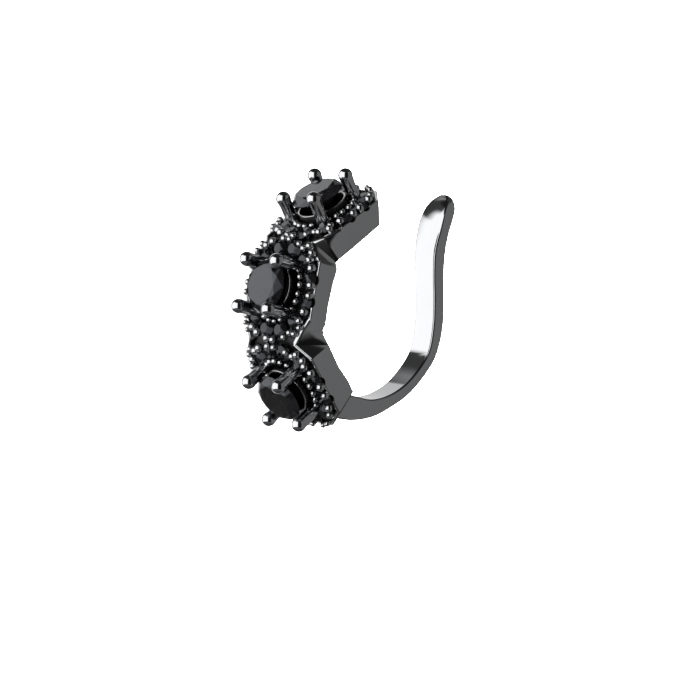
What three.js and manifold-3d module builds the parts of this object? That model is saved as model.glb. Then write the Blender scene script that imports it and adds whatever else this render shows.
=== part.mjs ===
// Clip-on ear cuff. Three octagonal paved clusters, each with a round stone held up in four
// prongs, form a curved frame. A flat springy hook band grows out of its lower end and clips
// behind the ear. Clusters, prongs, seat rings and band are one piece of metal.
//
// Units are millimetres. The cuff lies on its side: its loop is in the XY plane and its width
// runs up along Z. The origin is the centre of its footprint, on the surface that it lies on.

import * as THREE from 'three';
import { mergeVertices } from 'three/addons/utils/BufferGeometryUtils.js';
import Module from 'manifold-3d';

// ---------- Driving dimensions ----------

const CUFF_WIDTH = 6.0; // across the clusters, side wall to side wall
const SIDE_HALF = CUFF_WIDTH / 2; // also the height of the plane of symmetry

// The clusters from the hook's root round to the free end.
// x, y: centre of the prong tips.
// facing: direction that the stone looks in, in degrees from +X.
// back: depth of the plain back, towards the ear.
// wall: how far along the cluster its two side walls start and end, at the paved face and at
// the back.
const CLUSTERS = [
  {
    name: 'bottom',
    x: -5.96,
    y: -5.83,
    facing: 212.1,
    back: 3.1,
    wall: { start: { paved: -1.7, back: -1.26 }, end: { paved: 2.05, back: 1.95 } },
  },
  {
    name: 'middle',
    x: -7.07,
    y: 0.99,
    facing: 167.0,
    back: 2.85,
    wall: { start: { paved: -1.96, back: -1.96 }, end: { paved: 1.65, back: 1.68 } },
  },
  {
    name: 'top',
    x: -2.92,
    y: 6.32,
    facing: 119.3,
    back: 3.1,
    wall: { start: { paved: -1.52, back: -2.6 }, end: { paved: 1.58, back: 0.98 } },
  },
];

// Depths below the plane through the centres of a cluster's prong tips
const TABLE_DEPTH = 0.05; // flat top of the centre stone
const GIRDLE_DEPTH = 0.32; // its widest level
const RING_DEPTH = 1.1; // top of the seat ring around it
const PAVED_DEPTH = 1.7; // paved face

// Outline of a cluster, seen from the front
const NECK_HALF_WIDTH = 2.1; // half width of the paved face where two clusters meet
const END_HALF_WIDTH = 1.83; // half width of a free end
const END_REACH = 2.7; // from the centre to a free end
const END_TAPER = 0.5; // how much shorter a free end is at the back

// Prongs and seat rings
const PRONG_OFFSET = 1.35; // from the stone's axis to a prong, along the cuff and across it
const PRONG_TIP_RADIUS = 0.43;
const PRONG_RADIUS = 0.36;
const RING_OUTER_RADIUS = 1.47;
const RING_WALL = 0.27;
const ROOT = 0.2; // how far a prong or ring reaches into the metal that it grows from

// Centre stone, a round brilliant
const GIRDLE_RADIUS = 1.48;
const GIRDLE_THICKNESS = 0.07;
const TABLE_RADIUS = 1.02;
const STAR_RADIUS = 1.26; // where the points of the star facets end
const PAVILION_DEPTH = 1.13;
const KEEL_RADIUS = 0.35; // where the pavilion's main facets are widest

// Hook band from its tip to its root in the bottom cluster: a point of its middle line, its
// thickness in the plane of the loop, and its width
const BAND = [
  { x: 7.46, y: 5.8, thickness: 0.22, width: 0.25 },
  { x: 7.43, y: 5.7, thickness: 0.55, width: 0.62 },
  { x: 7.4, y: 5.44, thickness: 0.82, width: 1.15 },
  { x: 7.26, y: 5.07, thickness: 0.94, width: 1.6 },
  { x: 7.02, y: 4.58, thickness: 0.9, width: 2.0 },
  { x: 6.77, y: 4.08, thickness: 0.86, width: 2.12 },
  { x: 6.6, y: 3.63, thickness: 0.83, width: 2.12 },
  { x: 6.44, y: 3.03, thickness: 0.88, width: 2.02 },
  { x: 6.33, y: 2.38, thickness: 0.94, width: 1.9 },
  { x: 6.27, y: 1.08, thickness: 0.91, width: 1.82 },
  { x: 6.31, y: -0.52, thickness: 0.87, width: 1.78 },
  { x: 6.22, y: -2.29, thickness: 0.88, width: 1.8 },
  { x: 5.72, y: -3.91, thickness: 0.74, width: 1.8 },
  { x: 4.8, y: -4.97, thickness: 0.69, width: 1.8 },
  { x: 3.63, y: -5.85, thickness: 0.7, width: 1.8 },
  { x: 2.25, y: -6.42, thickness: 0.79, width: 1.8 },
  { x: 0.75, y: -6.67, thickness: 1.06, width: 1.8 },
  { x: -0.79, y: -6.47, thickness: 1.42, width: 1.8 },
  { x: -2.9, y: -5.94, thickness: 1.2, width: 1.8 },
];
const BAND_BEVEL = 0.16; // along the band's four edges
const STEPS_PER_ROW = 3;

const PRONG_SIDES = 12;
const RING_SIDES = 32;
const STONE_SIDES = 8;

// ---------- Making solids ----------

const wasm = await Module();
wasm.setup();
const { Manifold, Mesh } = wasm;

const MERGE_DISTANCE = 1e-5;

// A geometry with each point once, and without triangles that have closed up at a pole
function mergePoints(geometry) {
  const bare = geometry.clone();
  bare.deleteAttribute('normal');
  bare.deleteAttribute('uv');
  const merged = mergeVertices(bare, MERGE_DISTANCE);
  const corners = merged.index.array;
  const kept = [];
  for (let i = 0; i < corners.length; i += 3) {
    const [a, b, c] = [corners[i], corners[i + 1], corners[i + 2]];
    if (a !== b && b !== c && c !== a) {
      kept.push(a, b, c);
    }
  }
  merged.setIndex(kept);
  return merged;
}

function toSolid(geometry) {
  const merged = mergePoints(geometry);
  return new Manifold(new Mesh({
    numProp: 3,
    vertProperties: new Float32Array(merged.attributes.position.array),
    triVerts: new Uint32Array(merged.index.array),
  }));
}

function toGeometry(solid) {
  const mesh = solid.getMesh();
  const geometry = new THREE.BufferGeometry();
  geometry.setAttribute('position', new THREE.BufferAttribute(mesh.vertProperties, 3));
  geometry.setIndex(new THREE.BufferAttribute(mesh.triVerts, 1));
  geometry.computeVertexNormals();
  return geometry;
}

function indexedGeometry(points, index) {
  const geometry = new THREE.BufferGeometry();
  const coordinates = points.flatMap((point) => point.toArray());
  geometry.setAttribute('position', new THREE.Float32BufferAttribute(coordinates, 3));
  geometry.setIndex(index);
  geometry.computeVertexNormals();
  return geometry;
}

// Whether a four-cornered side is folded deeper into the solid along b-d than along a-c
function foldsDeeper(a, b, c, d) {
  const outward = c.clone().sub(a).cross(d.clone().sub(b));
  const fromFirstToSecond = b.clone().add(d).sub(a).sub(c);
  return outward.dot(fromFirstToSecond) < -1e-6;
}

// A closed solid through a row of sections of equally many points, with flat ends. Seen
// from the first section towards the last, the points of each go round clockwise.
function loft(sections) {
  const count = sections[0].length;
  const corners = sections.flat();
  const index = [];
  for (let row = 0; row + 1 < sections.length; row += 1) {
    for (let side = 0; side < count; side += 1) {
      const a = row * count + side;
      const b = row * count + ((side + 1) % count);
      const c = b + count;
      const d = a + count;
      if (foldsDeeper(corners[a], corners[b], corners[c], corners[d])) {
        index.push(a, b, d);
        index.push(b, c, d);
      } else {
        index.push(a, b, c);
        index.push(a, c, d);
      }
    }
  }
  const last = (sections.length - 1) * count;
  for (let side = 1; side + 1 < count; side += 1) {
    index.push(0, side + 1, side);
    index.push(last, last + side, last + side + 1);
  }
  return indexedGeometry(corners, index);
}

// ---------- Places on a cluster ----------

// Across the cuff, along it towards its free end, and outward along the stone's axis
function directions(cluster) {
  const angle = THREE.MathUtils.degToRad(cluster.facing);
  const across = new THREE.Vector3(0, 0, 1);
  const outward = new THREE.Vector3(Math.cos(angle), Math.sin(angle), 0);
  const along = new THREE.Vector3().crossVectors(outward, across);
  return { across, along, outward };
}

function pointOn(cluster, along, across, depth) {
  const axes = directions(cluster);
  return new THREE.Vector3(cluster.x, cluster.y, SIDE_HALF)
    .addScaledVector(axes.along, along)
    .addScaledVector(axes.across, across)
    .addScaledVector(axes.outward, -depth);
}

// The place of a shape that is made about +Z and stands on the cluster at a depth
function standingOn(cluster, along, across, depth) {
  const axes = directions(cluster);
  return new THREE.Matrix4()
    .makeBasis(axes.across, axes.along, axes.outward)
    .setPosition(pointOn(cluster, along, across, depth));
}

// How far along a cluster its face at a depth meets its neighbour's face at another depth
function reachToNeighbour(cluster, depth, neighbour, neighbourDepth) {
  const own = directions(cluster);
  const other = directions(neighbour);
  const gap = pointOn(neighbour, 0, 0, neighbourDepth).sub(pointOn(cluster, 0, 0, depth));
  return gap.dot(other.outward) / own.along.dot(other.outward);
}

// ---------- Frame of the three clusters ----------

// A section of the frame through its paved face and its back
function frameSection(cluster, paved, back) {
  return [
    pointOn(cluster, paved.along, paved.half, PAVED_DEPTH),
    pointOn(cluster, back.along, back.half, cluster.back),
    pointOn(cluster, back.along, -back.half, cluster.back),
    pointOn(cluster, paved.along, -paved.half, PAVED_DEPTH),
  ];
}

// The section at the start or the end of a cluster's side walls
function wallSection(cluster, place) {
  return frameSection(
    cluster,
    { along: place.paved, half: SIDE_HALF },
    { along: place.back, half: SIDE_HALF },
  );
}

// A free end, which tapers towards the back. way is 1 or -1 along the cluster.
function endSection(cluster, way) {
  return frameSection(
    cluster,
    { along: way * END_REACH, half: END_HALF_WIDTH },
    { along: way * (END_REACH - END_TAPER), half: END_HALF_WIDTH },
  );
}

// The section that two clusters share. Only the paved faces narrow towards it: at the back
// it is as wide as the side walls.
function neckSection(cluster, neighbour) {
  const paved = reachToNeighbour(cluster, PAVED_DEPTH, neighbour, PAVED_DEPTH);
  const back = reachToNeighbour(cluster, cluster.back, neighbour, neighbour.back);
  return frameSection(
    cluster,
    { along: paved, half: NECK_HALF_WIDTH },
    { along: back, half: SIDE_HALF },
  );
}

function clusterFrame() {
  const [bottom, middle, top] = CLUSTERS;
  return toSolid(loft([
    endSection(bottom, -1),
    wallSection(bottom, bottom.wall.start),
    wallSection(bottom, bottom.wall.end),
    neckSection(bottom, middle),
    wallSection(middle, middle.wall.start),
    wallSection(middle, middle.wall.end),
    neckSection(middle, top),
    wallSection(top, top.wall.start),
    wallSection(top, top.wall.end),
    endSection(top, 1),
  ]));
}

// ---------- Prongs and seat rings ----------

// Turns a profile of [radius, height] pairs about +Z
function turned(profile, sides) {
  const points = profile.map(([radius, height]) => new THREE.Vector2(radius, height));
  return new THREE.LatheGeometry(points, sides).rotateX(Math.PI / 2);
}

// A round stem that widens into a ball, with its foot at z = 0
function prongShape() {
  const tipHeight = PAVED_DEPTH + ROOT;
  const neckAngle = Math.asin(PRONG_RADIUS / PRONG_TIP_RADIUS);
  const ballSteps = 6;
  const profile = [[0, 0], [PRONG_RADIUS, 0]];
  for (let step = 0; step < ballSteps; step += 1) {
    const fromTop = (Math.PI - neckAngle) * (1 - step / ballSteps);
    const radius = PRONG_TIP_RADIUS * Math.sin(fromTop);
    profile.push([radius, tipHeight + PRONG_TIP_RADIUS * Math.cos(fromTop)]);
  }
  profile.push([0, tipHeight + PRONG_TIP_RADIUS]);
  return turned(profile, PRONG_SIDES);
}

// A short upright tube, with its foot at z = 0
function seatRingShape() {
  const inner = RING_OUTER_RADIUS - RING_WALL;
  const height = PAVED_DEPTH - RING_DEPTH + ROOT;
  const profile = [
    [inner, 0], [RING_OUTER_RADIUS, 0], [RING_OUTER_RADIUS, height], [inner, height], [inner, 0],
  ];
  return turned(profile, RING_SIDES);
}

function settings() {
  const prong = prongShape();
  const ring = seatRingShape();
  const foot = PAVED_DEPTH + ROOT;
  const solids = [];
  for (const cluster of CLUSTERS) {
    solids.push(toSolid(ring.clone().applyMatrix4(standingOn(cluster, 0, 0, foot))));
    for (const along of [-PRONG_OFFSET, PRONG_OFFSET]) {
      for (const across of [-PRONG_OFFSET, PRONG_OFFSET]) {
        const stand = standingOn(cluster, along, across, foot);
        solids.push(toSolid(prong.clone().applyMatrix4(stand)));
      }
    }
  }
  return solids;
}

// ---------- Hook band ----------

// A rectangle of thickness by width whose corners are bevelled
function bandSection(centre, thicknessWay, thickness, width) {
  const halfThick = thickness / 2;
  const halfWide = width / 2;
  const bevel = Math.min(BAND_BEVEL, halfThick / 2, halfWide / 2);
  const corners = [];
  for (const [thickSign, wideSign] of [[1, 1], [1, -1], [-1, -1], [-1, 1]]) {
    const alongFace = [thickSign * halfThick, wideSign * (halfWide - bevel)];
    const alongEdge = [thickSign * (halfThick - bevel), wideSign * halfWide];
    const inOrder = thickSign === wideSign ? [alongEdge, alongFace] : [alongFace, alongEdge];
    corners.push(...inOrder);
  }
  return corners.map(([thick, wide]) => new THREE.Vector3(0, 0, wide)
    .add(centre)
    .addScaledVector(thicknessWay, thick));
}

function hookBand() {
  const middleLine = new THREE.CatmullRomCurve3(
    BAND.map((row) => new THREE.Vector3(row.x, row.y, SIDE_HALF)),
    false,
    'centripetal',
  );
  const steps = (BAND.length - 1) * STEPS_PER_ROW;
  const sections = [];
  for (let step = 0; step <= steps; step += 1) {
    const row = Math.min(Math.floor(step / STEPS_PER_ROW), BAND.length - 2);
    const share = step / STEPS_PER_ROW - row;
    const { lerp } = THREE.MathUtils;
    const thickness = lerp(BAND[row].thickness, BAND[row + 1].thickness, share);
    const width = lerp(BAND[row].width, BAND[row + 1].width, share);
    const forward = middleLine.getTangent(step / steps);
    const thicknessWay = new THREE.Vector3(forward.y, -forward.x, 0).normalize();
    sections.push(bandSection(middleLine.getPoint(step / steps), thicknessWay, thickness, width));
  }
  return toSolid(loft(sections));
}

// ---------- Centre stones ----------

// Points round the axis at a height. turn is a share of the step between two points.
function roundOfPoints(count, radius, z, turn) {
  const points = [];
  for (let i = 0; i < count; i += 1) {
    const angle = ((i + turn) / count) * 2 * Math.PI;
    points.push(new THREE.Vector3(radius * Math.cos(angle), radius * Math.sin(angle), z));
  }
  return points;
}

// A round brilliant about +Z, with the plane of the prong tips at z = 0. Main facets run
// from the table to the girdle and from the girdle to the point below.
function brilliantShape() {
  const n = STONE_SIDES;
  const lean = Math.cos(Math.PI / n);
  const crownSlope = (GIRDLE_DEPTH - TABLE_DEPTH) / (GIRDLE_RADIUS - TABLE_RADIUS);
  const starZ = -TABLE_DEPTH - (STAR_RADIUS * lean - TABLE_RADIUS) * crownSlope;
  const lowGirdleZ = -GIRDLE_DEPTH - GIRDLE_THICKNESS;
  const pointZ = lowGirdleZ - PAVILION_DEPTH;
  const keelZ = pointZ + KEEL_RADIUS * lean * (PAVILION_DEPTH / GIRDLE_RADIUS);
  const points = [
    ...roundOfPoints(n, TABLE_RADIUS, -TABLE_DEPTH, 0),
    ...roundOfPoints(n, STAR_RADIUS, starZ, 0.5),
    ...roundOfPoints(2 * n, GIRDLE_RADIUS, -GIRDLE_DEPTH, 0),
    ...roundOfPoints(2 * n, GIRDLE_RADIUS, lowGirdleZ, 0),
    ...roundOfPoints(n, KEEL_RADIUS, keelZ, 0.5),
    new THREE.Vector3(0, 0, pointZ),
  ];
  const table = (i) => i % n;
  const star = (i) => n + (i % n);
  const girdle = (i) => 2 * n + (i % (2 * n));
  const lowGirdle = (i) => 4 * n + (i % (2 * n));
  const keel = (i) => 6 * n + (i % n);
  const point = 7 * n;
  const facets = [];
  for (let i = 1; i + 1 < n; i += 1) {
    facets.push([table(0), table(i), table(i + 1)]);
  }
  for (let i = 0; i < n; i += 1) {
    const before = i + n - 1;
    const left = 2 * i;
    facets.push([table(i), star(i), table(i + 1)]);
    facets.push([table(i), star(before), girdle(left)], [table(i), girdle(left), star(i)]);
    facets.push([star(i), girdle(left), girdle(left + 1)]);
    facets.push([star(i), girdle(left + 1), girdle(left + 2)]);
    facets.push([keel(i), lowGirdle(left + 1), lowGirdle(left)]);
    facets.push([keel(i), lowGirdle(left + 2), lowGirdle(left + 1)]);
    facets.push([point, lowGirdle(left), keel(before)], [point, keel(i), lowGirdle(left)]);
  }
  for (let i = 0; i < 2 * n; i += 1) {
    facets.push([girdle(i), lowGirdle(i), lowGirdle(i + 1)]);
    facets.push([girdle(i), lowGirdle(i + 1), girdle(i + 1)]);
  }
  return indexedGeometry(points, facets.flat());
}

// ---------- The cuff ----------

const gunmetal = new THREE.MeshStandardMaterial({
  color: 0x5c5e60, roughness: 0.18, metalness: 1,
});
const blackStone = new THREE.MeshStandardMaterial({
  color: 0x0c0d11, roughness: 0.05, metalness: 0, flatShading: true,
});

function metalMesh() {
  let metal = clusterFrame().add(hookBand());
  for (const solid of settings()) {
    metal = metal.add(solid);
  }
  const mesh = new THREE.Mesh(toGeometry(metal), gunmetal);
  mesh.name = 'cuff_frame';
  return mesh;
}

function stoneMesh(cluster) {
  const mesh = new THREE.Mesh(brilliantShape(), blackStone.clone());
  mesh.name = `centre_stone_${cluster.name}`;
  mesh.applyMatrix4(standingOn(cluster, 0, 0, 0));
  return mesh;
}

const cuff = new THREE.Group();
cuff.name = 'ear_cuff';
cuff.add(metalMesh());
for (const cluster of CLUSTERS) {
  cuff.add(stoneMesh(cluster));
}

export default cuff;
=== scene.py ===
"""Clip-on ear cuff: three paved clusters with raised round stones, and a springy hook band.

Laid out as an add-on: each group of like pieces has its own operator, and one panel lists them.
Lengths in the tables are millimetres. Blender's units are metres.
"""

import math

import bmesh
import bpy
from bpy.props import FloatProperty, FloatVectorProperty, IntProperty, PointerProperty
from mathutils import Matrix, Vector


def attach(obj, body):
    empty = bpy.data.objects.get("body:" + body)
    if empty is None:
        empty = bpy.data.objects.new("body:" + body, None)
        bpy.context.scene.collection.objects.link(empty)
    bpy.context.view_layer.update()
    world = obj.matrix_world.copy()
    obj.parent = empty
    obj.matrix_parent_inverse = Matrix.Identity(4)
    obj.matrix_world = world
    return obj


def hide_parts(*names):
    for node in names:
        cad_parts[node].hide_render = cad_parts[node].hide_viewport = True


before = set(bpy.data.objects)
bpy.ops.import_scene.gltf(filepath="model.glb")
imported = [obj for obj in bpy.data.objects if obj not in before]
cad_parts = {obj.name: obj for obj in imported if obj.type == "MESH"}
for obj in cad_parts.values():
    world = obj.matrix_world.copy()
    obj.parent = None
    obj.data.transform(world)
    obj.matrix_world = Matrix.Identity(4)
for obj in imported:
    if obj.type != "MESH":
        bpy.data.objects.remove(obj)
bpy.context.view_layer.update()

bl_info = {
    "name": "Ear Cuff",
    "version": (1, 0, 0),
    "blender": (4, 5, 0),
    "location": "3D View > Sidebar > Ear Cuff",
    "description": "Models a paved clip-on ear cuff and the light around it",
    "category": "Object",
}

MM = 0.001
BODY = "root"
METAL_SLOT = "gunmetal"
STONE_SLOT = "black_stone"
STONE_NODES = ("centre_stone_bottom", "centre_stone_middle", "centre_stone_top")

# The clusters from the hook's root round to the free end: centre of the prong tips, the way
# the stone looks in degrees from +X, the depth of the plain back, and how far the centre stone
# is sunk. Depths start at the prong tips. Each row of the side walls gives the half width and
# the reach along the cluster at the paved face, then the reach and the depth at the back.
CLUSTERS = (
    {
        "name": "bottom", "x": -5.96, "y": -5.83, "facing": 212.1, "back": 3.1, "sunk": 0.0,
        "walls": (
            (3.0, -1.70, -1.23, 3.25), (3.0, -0.50, -0.50, 3.26),
            (3.0, 0.60, 0.60, 3.12), (3.0, 2.05, 1.96, 3.18),
        ),
    },
    {
        "name": "middle", "x": -7.07, "y": 0.99, "facing": 167.0, "back": 2.85, "sunk": 0.15,
        "walls": (
            (2.5, -2.25, -1.98, 2.80), (3.0, -1.50, -1.62, 2.91), (3.0, -0.50, -0.50, 2.87),
            (3.0, 0.65, 0.65, 2.95), (3.0, 1.65, 1.50, 3.09),
        ),
    },
    {
        "name": "top", "x": -2.92, "y": 6.32, "facing": 119.3, "back": 3.1, "sunk": 0.0,
        "walls": (
            (2.6, -2.66, -2.60, 3.16), (3.0, -1.52, -1.50, 3.14), (3.0, 1.58, 0.98, 3.05),
        ),
    },
)
MID_HEIGHT = 3.0  # of the plane of symmetry above the surface that the cuff lies on

# Hook band from its tip to its root: a point of its middle line, its thickness and its width
BAND = (
    (7.52, 5.79, 0.24, 0.50), (7.50, 5.66, 0.42, 0.96), (7.445, 5.39, 0.72, 1.42),
    (7.29, 5.035, 0.88, 1.76), (7.02, 4.58, 0.90, 2.00), (6.77, 4.08, 0.86, 2.12),
    (6.60, 3.63, 0.83, 2.12), (6.44, 3.03, 0.88, 2.02), (6.33, 2.38, 0.94, 1.90),
    (6.27, 1.08, 0.91, 1.82), (6.31, -0.52, 0.87, 1.78), (6.22, -2.29, 0.88, 1.80),
    (5.72, -3.91, 0.74, 1.80), (4.80, -4.97, 0.69, 1.80), (3.63, -5.85, 0.70, 1.80),
    (2.25, -6.42, 0.79, 1.80), (0.75, -6.70, 1.10, 1.80), (-0.79, -6.52, 1.48, 1.80),
    (-2.90, -6.00, 1.30, 1.80),
)

# A prong below its ball: depth under the prong tips and radius. It ends inside the plate.
PRONG_STEM = (
    (0.24, 0.395), (0.4, 0.376), (0.62, 0.365), (0.9, 0.36), (1.45, 0.36), (1.6, 0.375),
    (1.72, 0.41),
)
PLAIN_STEM = 0.36  # plain radius in that table
FOOT_RADIUS = 0.46
BALL_NECK = 0.3  # how far under its middle the ball is cut off, as a share of its radius

# A centre stone: radii of its girdle, its table's corners, its star facets' points and the
# widest place of the main facets below, then heights of its table, the girdle's two edges and
# its point
CENTRE_RADII = (1.53, 1.14, 1.33, 0.35)
CENTRE_HEIGHTS = (-0.05, -0.42, -0.49, -1.54)

# A small stone: table and star as shares of its radius, and the same four heights
PAVED_SHARES = (0.52, 0.74)
PAVED_HEIGHTS = (0.27, 0.0, -0.04, -0.4)

# Start, middle and end of each of a stone's eight main facets, as shares of a turn
FACETS = [(i / 8, (i + 0.5) / 8, (i + 1) / 8) for i in range(8)]
FACET_LEAN = math.cos(math.pi / 8)  # distance of a facet's middle, as a share of its corners'

SAME_LEVEL = 0.01 * MM  # two levels closer than this are taken as one
SAME_SPOT = 1e-6  # and two points
SLIVER = 0.0002 * MM  # shorter edges, left by the drills, are closed
INTO_PLATE = 0.3 * MM  # how far prongs and seat rims go down into the plates


# ---------- Sizes and colours that a user would change ----------


def length(name, description, millimetres):
    """A length setting, given in millimetres and kept in metres."""
    return FloatProperty(
        name=name, description=description, default=millimetres * MM, min=0.0, precision=5,
        unit="LENGTH",
    )


def colour(name, description, default):
    return FloatVectorProperty(
        name=name, description=description, default=default, min=0.0, max=1.0, size=4,
        subtype="COLOR",
    )


class CuffClusterSizes(bpy.types.PropertyGroup):
    """Plates of the three clusters."""

    side_half: length("Half width", "From the plane of symmetry to a side wall", 3.0)
    neck_half: length("Neck half width", "Half width of the paved face at a neck", 2.1)
    neck_back_half: length("Neck back half width", "Half width of the back there", 2.85)
    neck_ridge: length("Neck ridge", "How much deeper the back lies there", 0.12)
    end_half: length("End half width", "Half width of a free end", 1.83)
    end_reach: length("End reach", "From the centre to a free end", 2.7)
    end_taper: length("End taper", "How much shorter a free end is at its back", 0.5)
    paved_depth: length("Paved depth", "From the prong tips down to the paved face", 1.7)
    rim: length("Rim", "Width of the polished rim beside the slanted walls", 0.2)
    wall_rim: length("Wall rim", "Width of the rim along the side walls", 0.07)
    recess: length("Recess", "How far the stones' bed lies under the rim", 0.12)
    slant_edge: length("Slanted edge", "Rounding between the rim and the slanted walls", 0.13)
    back_edge: length("Back edge", "Rounding between the side walls and the back", 0.09)
    edge: length("Edge rounding", "Polished rounding of the other edges", 0.045)


class CuffProngSizes(bpy.types.PropertyGroup):
    """Ball-tipped prongs and the seat rims inside them."""

    offset: length("Offset", "From the stone's axis to a prong, each way", 1.35)
    ball: length("Ball radius", "Radius of a prong's ball", 0.43)
    stem: length("Stem radius", "Radius of a prong's stem", 0.36)
    rim_outer: length("Seat rim radius", "Outside radius of the seat rim", 1.47)
    rim_wall: length("Seat rim wall", "Thickness of the seat rim", 0.1)
    rim_depth: length("Seat rim depth", "From the prong tips down to the seat rim", 1.1)


class CuffPaveSizes(bpy.types.PropertyGroup):
    """Small stones round each centre stone and the grains that hold them."""

    count: IntProperty(
        name="Stones", description="Small stones in a cluster", default=12, min=6
    )
    ring: length("Ring radius", "From the axis to a small stone's axis", 2.38)
    stone: length("Stone radius", "Radius of a small stone", 0.56)
    level: length("Stone level", "From the prong tips down to a small stone's girdle", 1.72)
    outer_grain: length("Outer grain radius", "Radius of an outer bead grain", 0.22)
    grain: length("Inner grain radius", "Radius of the other bead grains", 0.185)
    unevenness: FloatProperty(
        name="Unevenness", description="How much grains differ in size", default=0.15
    )
    grain_shift: length("Grain shift", "How far a grain stands out of its ring at most", 0.06)
    grain_depth: length("Grain depth", "From the prong tips down to a grain's centre", 1.5)
    outer_ring: length("Outer grains", "From the axis to the outer grains", 2.9)
    inner_ring: length("Inner grains", "From the axis to the inner grains", 1.82)
    corner_ring: length("Corner grains", "From the axis to the corner grains", 3.2)
    scallop: length("Scallop radius", "Radius of the cuts in the walls beside the stones", 0.34)
    scallop_lift: length("Scallop lift", "How far above the paved face a cut's axis lies", 0.18)


class CuffFinishes(bpy.types.PropertyGroup):
    """Colours of the metal, the stones and the floor."""

    metal: colour("Gunmetal", "Polished gunmetal plate", (0.50, 0.505, 0.515, 1.0))
    tarnish: colour("Dark gunmetal", "Plate in the hollows", (0.40, 0.405, 0.415, 1.0))
    # painted shade: this near-black colour stands for the shade in the stones' bed, the seats,
    # by the hook's root and low in the seat rims
    painted_shade: colour("Painted shade metal", "Dark metal under the stones", (0.06, 0.06, 0.062, 1.0))
    stone: colour("Stone", "Black stones", (0.0005, 0.0005, 0.00055, 1.0))
    floor: colour("Floor", "Pale floor", (0.86, 0.86, 0.86, 1.0))


class CuffSettings(bpy.types.PropertyGroup):
    """All settings of the ear cuff."""

    clusters: PointerProperty(type=CuffClusterSizes)
    prongs: PointerProperty(type=CuffProngSizes)
    pave: PointerProperty(type=CuffPaveSizes)
    finishes: PointerProperty(type=CuffFinishes)
    band_edge: length("Band edge", "Rounding of the hook band's edges", 0.16)


def settings():
    return bpy.context.scene.ear_cuff


# ---------- Places on a cluster ----------


def directions(cluster):
    """Across the cuff, along it towards its free end, and outward."""
    angle = math.radians(cluster["facing"])
    across = Vector((0, 0, 1))
    outward = Vector((math.cos(angle), math.sin(angle), 0))
    return across, outward.cross(across), outward


def centre_of(cluster):
    return Vector((cluster["x"], cluster["y"], MID_HEIGHT)) * MM


def place_on(cluster, across=0.0, along=0.0, depth=0.0, turn=0.0):
    """Where a shape made about +Z stands on a cluster. Lengths are in metres."""
    axes = directions(cluster)
    spot = centre_of(cluster) + axes[0] * across + axes[1] * along - axes[2] * depth
    stand = Matrix(axes).transposed().to_4x4()
    return Matrix.Translation(spot) @ stand @ Matrix.Rotation(turn, 4, "Z")


def point_on(cluster, across, along, depth):
    return place_on(cluster, across, along, depth).to_translation()


def reach_to_neighbour(cluster, depth, neighbour, neighbour_depth):
    """How far along a cluster its face at one depth meets its neighbour's at another."""
    own_along = directions(cluster)[1]
    other_outward = directions(neighbour)[2]
    gap = point_on(neighbour, 0, 0, neighbour_depth) - point_on(cluster, 0, 0, depth)
    return gap.dot(other_outward) / own_along.dot(other_outward)


def in_cluster(cluster, point):
    """Across, along and depth of a point on a cluster."""
    across, along, outward = directions(cluster)
    way = point - centre_of(cluster)
    return way.dot(across), way.dot(along), -way.dot(outward)


# ---------- Working by hand ----------


def select_only(*pieces):
    """Selects these pieces alone and makes the first one active."""
    bpy.ops.object.select_all(action="DESELECT")
    for piece in pieces:
        piece.select_set(True)
    bpy.context.view_layer.objects.active = pieces[0]


def start_piece(name):
    """Names the primitive that was just added and opens it in edit mode."""
    piece = bpy.context.object
    piece.name = name
    piece.data.name = name
    bpy.ops.object.transform_apply(location=True, rotation=True, scale=True)
    select_only(piece)
    bpy.ops.object.mode_set(mode="EDIT")
    return piece


def choose(piece, kind, test):
    """Selects the faces, edges or points of a piece in edit mode that pass a test."""
    bpy.ops.mesh.select_mode(type=kind)
    bpy.ops.mesh.select_all(action="DESELECT")
    shape = bmesh.from_edit_mesh(piece.data)
    shape.normal_update()
    group = {"VERT": shape.verts, "EDGE": shape.edges, "FACE": shape.faces}[kind]
    for element in group:
        if test(element):
            element.select_set(True)
    bmesh.update_edit_mesh(piece.data)


def size_chosen(factors, centre):
    bpy.ops.transform.resize(value=factors, center_override=centre)


def extrude_edge_loop(radius_factor, drop):
    """Grows the chosen open loop about the Z axis: narrower or wider, and lower by drop."""
    bpy.ops.mesh.extrude_region_move(TRANSFORM_OT_translate={"value": (0, 0, -drop)})
    size_chosen((radius_factor, radius_factor, 1), (0, 0, 0))


def leave_edit():
    bpy.ops.object.mode_set(mode="OBJECT")


def finish_with(piece, kind, **values):
    """Adds a modifier, sets it and applies it."""
    select_only(piece)
    modifier = piece.modifiers.new(kind.title(), kind)
    for name, value in values.items():
        setattr(modifier, name, value)
    bpy.ops.object.modifier_apply(modifier=modifier.name)


def smooth(piece, degrees):
    """Shades a piece smooth, apart from edges that are sharper than an angle."""
    select_only(piece)
    bpy.ops.object.shade_smooth_by_angle(angle=math.radians(degrees))


def copy_to(piece, places, name):
    """Copies a piece to each place, each copy with its own mesh, and joins the copies."""
    copies = []
    for place in places:
        select_only(piece)
        bpy.ops.object.duplicate(linked=False)
        copy = bpy.context.object
        copy.matrix_world = place
        bpy.ops.object.transform_apply(location=True, rotation=True, scale=True)
        copies.append(copy)
    bpy.data.objects.remove(piece)
    select_only(*copies)
    bpy.ops.object.join()
    group = bpy.context.object
    group.name = name
    group.data.name = name
    return group


def drill(piece, name, places, sides, radius, depth, lift=0.0):
    """Cuts a round hole at each place, with the drill's middle lifted above it."""
    bpy.ops.mesh.primitive_cylinder_add(
        vertices=sides, radius=radius, depth=depth, location=(0, 0, lift)
    )
    one = start_piece(name)
    leave_edit()
    drills = copy_to(one, places, f"{name}s")
    finish_with(piece, "BOOLEAN", operation="DIFFERENCE", solver="EXACT", object=drills)
    bpy.data.objects.remove(drills)


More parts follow.
